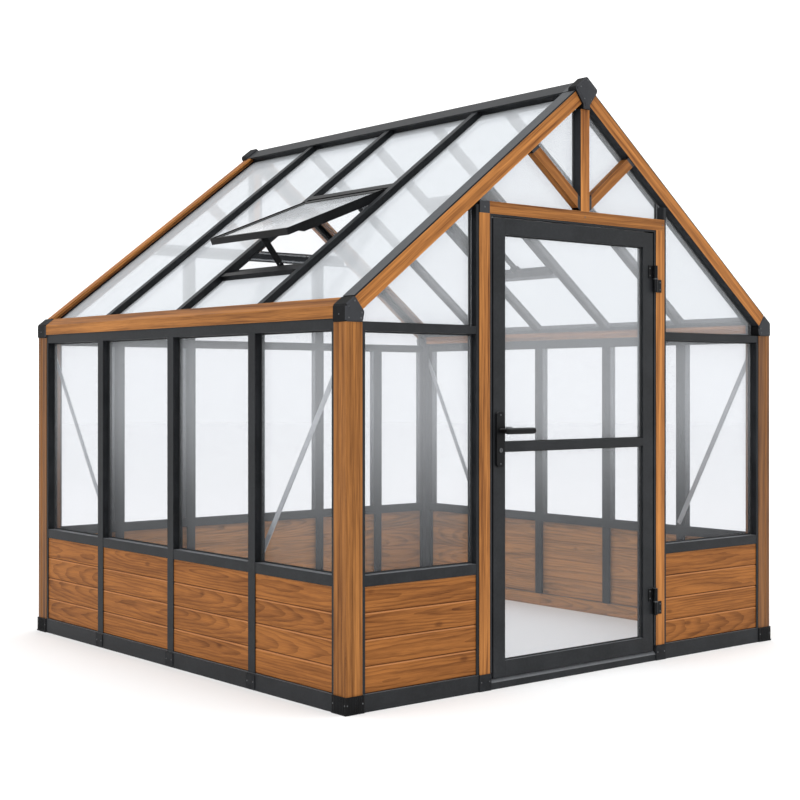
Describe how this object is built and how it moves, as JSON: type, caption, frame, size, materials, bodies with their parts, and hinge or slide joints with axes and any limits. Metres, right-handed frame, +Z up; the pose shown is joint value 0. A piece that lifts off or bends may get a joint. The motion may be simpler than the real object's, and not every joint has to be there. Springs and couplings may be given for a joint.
{
  "type": "greenhouse",
  "caption": "Gable-roofed aluminium greenhouse with wood-grain posts and planks, dark glazing bars, clear panes, a hinged glazed door and hinged roof vents on stays.",
  "frame": {"origin": "on the ground, at the middle of the rectangle of ground anchor holes", "axes": "+Z up, +Y along the ridge from the door gable to the rear gable, +X across the gables to the right of the door"},
  "size_m": [2.4524, 2.4718, 2.4125],
  "materials": {
    "wood_grain_frame": "wood-grain printed powder coat, satin",
    "wood_grain_planks": "satin wood grain",
    "charcoal_frame": "charcoal powder coat, satin",
    "black_connectors": "moulded, fine texture",
    "clear_glazing": "clear",
    "silver_bracing": "mill finish",
    "black_hardware": "satin black",
    "steel_fittings": "zinc plated",
    "black_seal": "matte"
  },
  "bodies": {
    "structure": {"corner_posts": "wood_grain_frame", "eave_beams": "wood_grain_frame", "front_rafters": "wood_grain_frame", "rear_rafters": "wood_grain_frame", "door_jambs": "wood_grain_frame", "door_header": "wood_grain_frame", "king_posts": "wood_grain_frame", "truss_diagonals": "wood_grain_frame", "rear_tie_beam": "wood_grain_frame", "wall_planks": "wood_grain_planks", "base_rails": "charcoal_frame", "wall_mullions": "charcoal_frame", "rear_gable_mullions": "charcoal_frame", "post_liners": "charcoal_frame", "jamb_liners": "charcoal_frame", "sill_rails": "charcoal_frame", "eave_rails": "charcoal_frame", "gable_eave_bars": "charcoal_frame", "left_roof_bars": "charcoal_frame", "right_roof_bars": "charcoal_frame", "ridge_beam": "charcoal_frame", "ridge_cap": "charcoal_frame", "vent_bars": "charcoal_frame", "door_frame": "charcoal_frame", "door_threshold": "charcoal_frame", "corner_feet": "black_connectors", "jamb_feet": "black_connectors", "base_joint_covers": "black_connectors", "eave_connectors": "black_connectors", "ridge_connectors": "black_connectors", "header_end_block": "black_connectors", "truss_shoes": "black_connectors", "side_panes": "clear_glazing", "gable_wall_panes": "clear_glazing", "gable_panes": "clear_glazing", "left_roof_panes": "clear_glazing", "right_roof_panes": "clear_glazing", "wall_braces": "silver_bracing", "hinge_jamb_halves": "black_hardware", "brace_bolts": "steel_fittings", "hinge_rings": "steel_fittings", "strike_plate": "steel_fittings", "door_seals": "black_seal"},
    "door": {"door_stiles": "charcoal_frame", "door_rails": "charcoal_frame", "door_panes": "clear_glazing", "hinge_leaf_halves": "black_hardware", "lock_case": "steel_fittings", "handle_plates": "black_hardware", "lock_cylinder": "steel_fittings"},
    "lever": {"outer_lever": "black_hardware", "inner_lever": "black_hardware", "lever_spindle": "steel_fittings"},
    "latch": {"latch_bolt": "steel_fittings"},
    "left_vent": {"left_vent_sash": "charcoal_frame", "left_vent_pane": "clear_glazing"},
    "left_stay": {"left_vent_stay": "black_hardware"},
    "right_vent": {"right_vent_sash": "charcoal_frame", "right_vent_pane": "clear_glazing"},
    "right_stay": {"right_vent_stay": "black_hardware"}
  },
  "joints": [
    {"name": "door_swing", "type": "hinge", "parent": "structure", "child": "door", "pos_m": [0.421, -1.2095, 1], "axis": [0, 0, 1], "range_deg": [0, 120]},
    {"name": "lever_turn", "type": "hinge", "parent": "door", "child": "lever", "pos_m": [-0.476, -1.2, 0.99], "axis": [0, 1, 0], "range_deg": [0, 40], "stiffness_Nm_per_rad": 1.2, "springref_deg": -57.3},
    {"name": "latch_slide", "type": "slide", "parent": "door", "child": "latch", "axis": [1, 0, 0], "range_m": [0, 0.0082]},
    {"name": "left_vent_swing", "type": "hinge", "parent": "structure", "child": "left_vent", "pos_m": [-0.52674, -0.3, 1.9737], "axis": [0, 1, 0], "range_deg": [-16, 0]},
    {"name": "left_stay_fold", "type": "hinge", "parent": "left_vent", "child": "left_stay", "pos_m": [-0.9594, -0.3, 1.77354], "axis": [0, 1, 0], "range_deg": [-74, 0]},
    {"name": "right_vent_swing", "type": "hinge", "parent": "structure", "child": "right_vent", "pos_m": [0.41281, 0, 2.06176], "axis": [0, -1, 0], "range_deg": [0, 16]},
    {"name": "right_stay_fold", "type": "hinge", "parent": "right_vent", "child": "right_stay", "pos_m": [0.77353, 0, 1.7501], "axis": [0, -1, 0], "range_deg": [0, 74]}
  ],
  "couplings": [
    {"joint": "latch_slide", "follows": "lever_turn", "m_per_rad": 0.0115},
    {"joint": "left_stay_fold", "follows": "left_vent_swing", "ratio": 4.625},
    {"joint": "right_stay_fold", "follows": "right_vent_swing", "ratio": 4.625}
  ]
}
